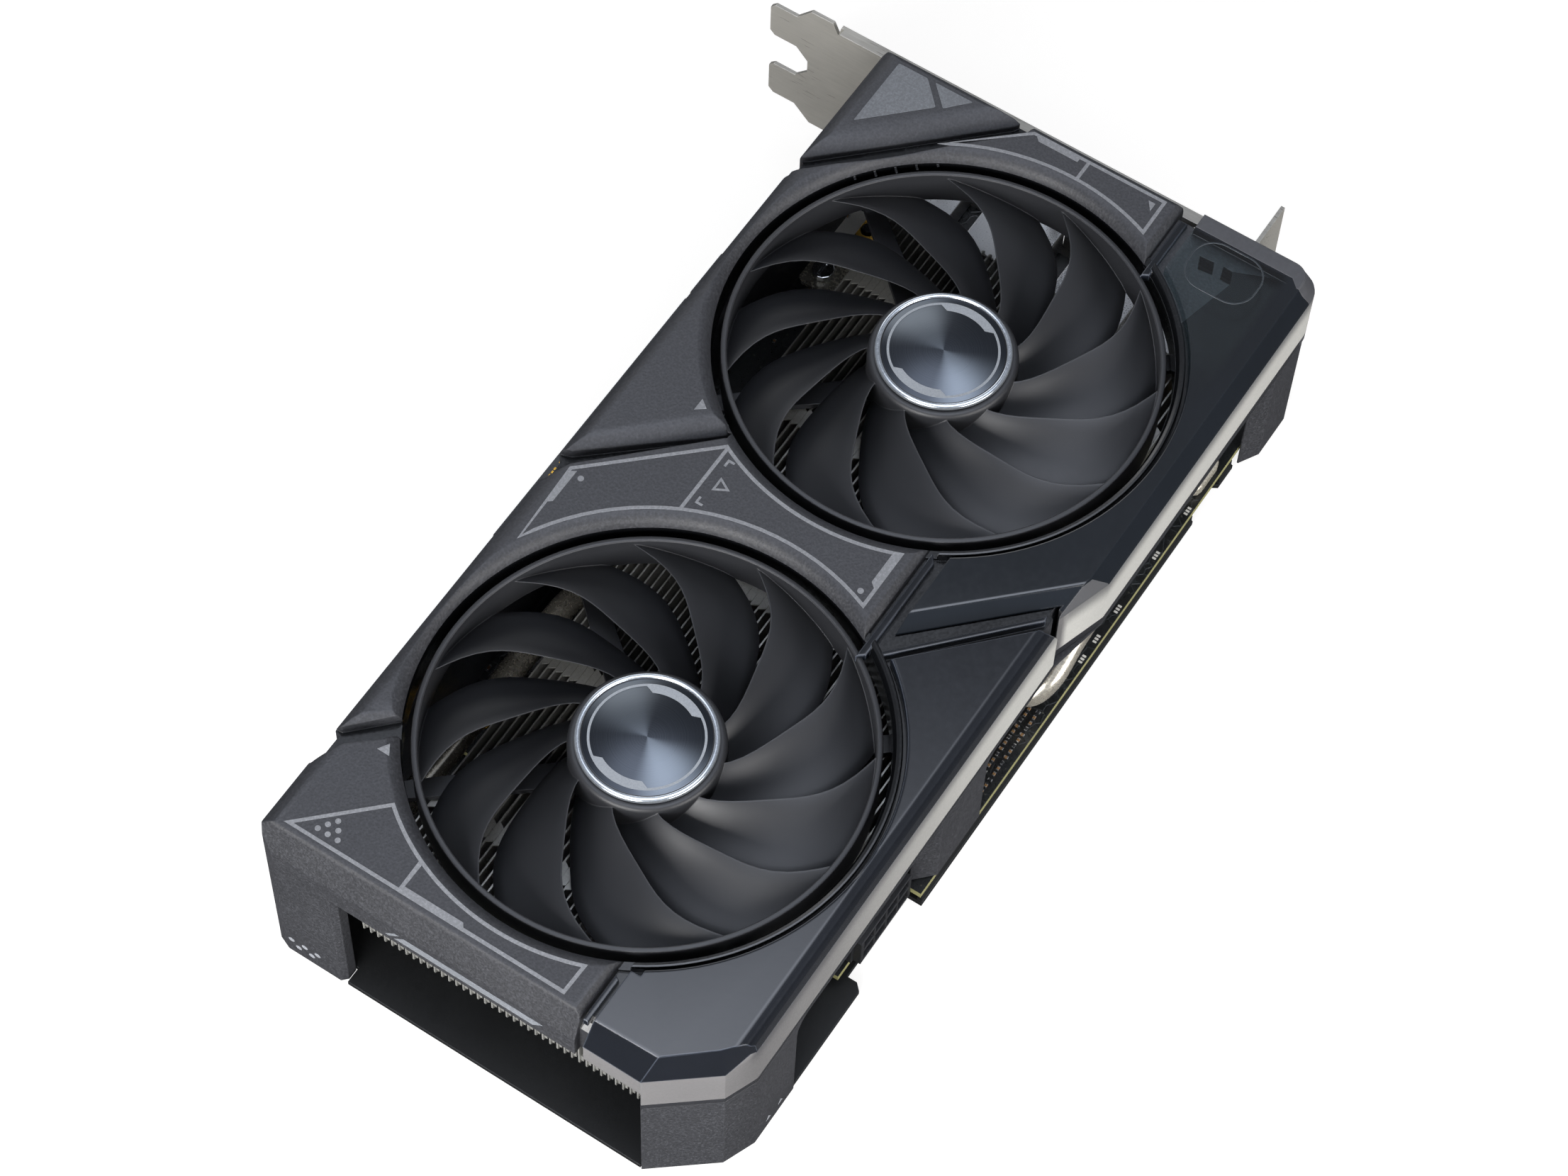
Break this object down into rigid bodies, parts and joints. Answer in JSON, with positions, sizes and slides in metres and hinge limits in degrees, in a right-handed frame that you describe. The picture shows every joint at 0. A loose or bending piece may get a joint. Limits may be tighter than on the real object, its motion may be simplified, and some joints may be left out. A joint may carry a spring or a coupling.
{
  "type": "graphics card",
  "caption": "Graphics card with twin axial fans in a textured shroud, gloss side trims, finned cooler with heat pipes, slot bracket, edge connector, power plug and rear cover.",
  "frame": {"origin": "midway between the two fan axes, on the outer face of the rear cover", "axes": "+X from the slot bracket to the far end, +Y from the edge connector to the power-plug side, +Z out of the fan side"},
  "size_m": [0.2386, 0.1373, 0.0496],
  "materials": {
    "textured_black": "fine-grained moulded black plastic with light grey printing",
    "gloss_black": "glossy dark blue-black plastic with a light grey side band",
    "smoked": "smoked translucent gloss plastic",
    "rotor_black": "satin moulded black plastic",
    "cap_metal": "concentric brushed metal with a polished rim",
    "steel": "bright steel",
    "black_steel": "black coated steel",
    "magnet": "dark sintered magnet",
    "copper": "copper",
    "bronze": "sintered bronze",
    "plain_black": "plain black plastic",
    "fin_aluminium": "stamped aluminium sheet",
    "nickel": "satin nickel plating",
    "board": "black solder mask with gold-plated contacts",
    "chip": "moulded chip package",
    "substrate": "green laminate",
    "die": "polished silicon",
    "ferrite": "pressed ferrite",
    "can_aluminium": "drawn aluminium can",
    "cream_plastic": "cream moulded plastic",
    "cable": "black cable sleeve",
    "cover_black": "black powder-coated sheet"
  },
  "bodies": {
    "card": {"bearing_front": "bronze", "bearing_rear": "bronze", "bracket_screw": "steel", "capacitor_1": "can_aluminium", "capacitor_2": "can_aluminium", "capacitor_3": "can_aluminium", "choke_1": "ferrite", "choke_2": "ferrite", "choke_3": "ferrite", "choke_4": "ferrite", "circuit_board": "board", "cold_plate": "copper", "cooler_leg": "nickel", "cooler_screw_1": "steel", "cooler_screw_2": "steel", "cooler_screw_3": "steel", "cooler_screw_4": "steel", "cover_screw_1": "black_steel", "cover_screw_2": "black_steel", "cover_screw_3": "black_steel", "cover_screw_4": "black_steel", "crystal": "can_aluminium", "fan_cable": "cable", "fan_header": "cream_plastic", "fan_mount_front": "plain_black", "fan_mount_rear": "plain_black", "fan_shroud": "textured_black", "fin_stack": "fin_aluminium", "front_trim": "smoked", "gpu_die": "die", "gpu_substrate": "substrate", "heat_pipe_1": "nickel", "heat_pipe_2": "nickel", "heat_pipe_3": "nickel", "heat_pipe_4": "nickel", "leg_screw": "steel", "memory_chip_1": "chip", "memory_chip_2": "chip", "memory_chip_3": "chip", "memory_chip_4": "chip", "power_plug": "plain_black", "rear_cover": "cover_black", "rear_trim": "gloss_black", "slot_bracket": "nickel", "spring_plate": "steel", "stator_front": "copper", "stator_rear": "copper", "video_port_1": "nickel", "video_port_2": "nickel", "video_port_3": "nickel", "video_port_4": "nickel"},
    "front_fan": {"fan_rotor_front": "rotor_black", "fan_shaft_front": "steel", "hub_cap_front": "cap_metal", "magnet_ring_front": "magnet"},
    "rear_fan": {"fan_rotor_rear": "rotor_black", "fan_shaft_rear": "steel", "hub_cap_rear": "cap_metal", "magnet_ring_rear": "magnet"}
  },
  "joints": [
    {"name": "front_fan_spin", "type": "hinge", "parent": "card", "child": "front_fan", "pos_m": [-0.0532, 0, 0.042], "axis": [0, 0, 1], "continuous": true},
    {"name": "rear_fan_spin", "type": "hinge", "parent": "card", "child": "rear_fan", "pos_m": [0.0532, 0, 0.042], "axis": [0, 0, 1], "continuous": true}
  ]
}
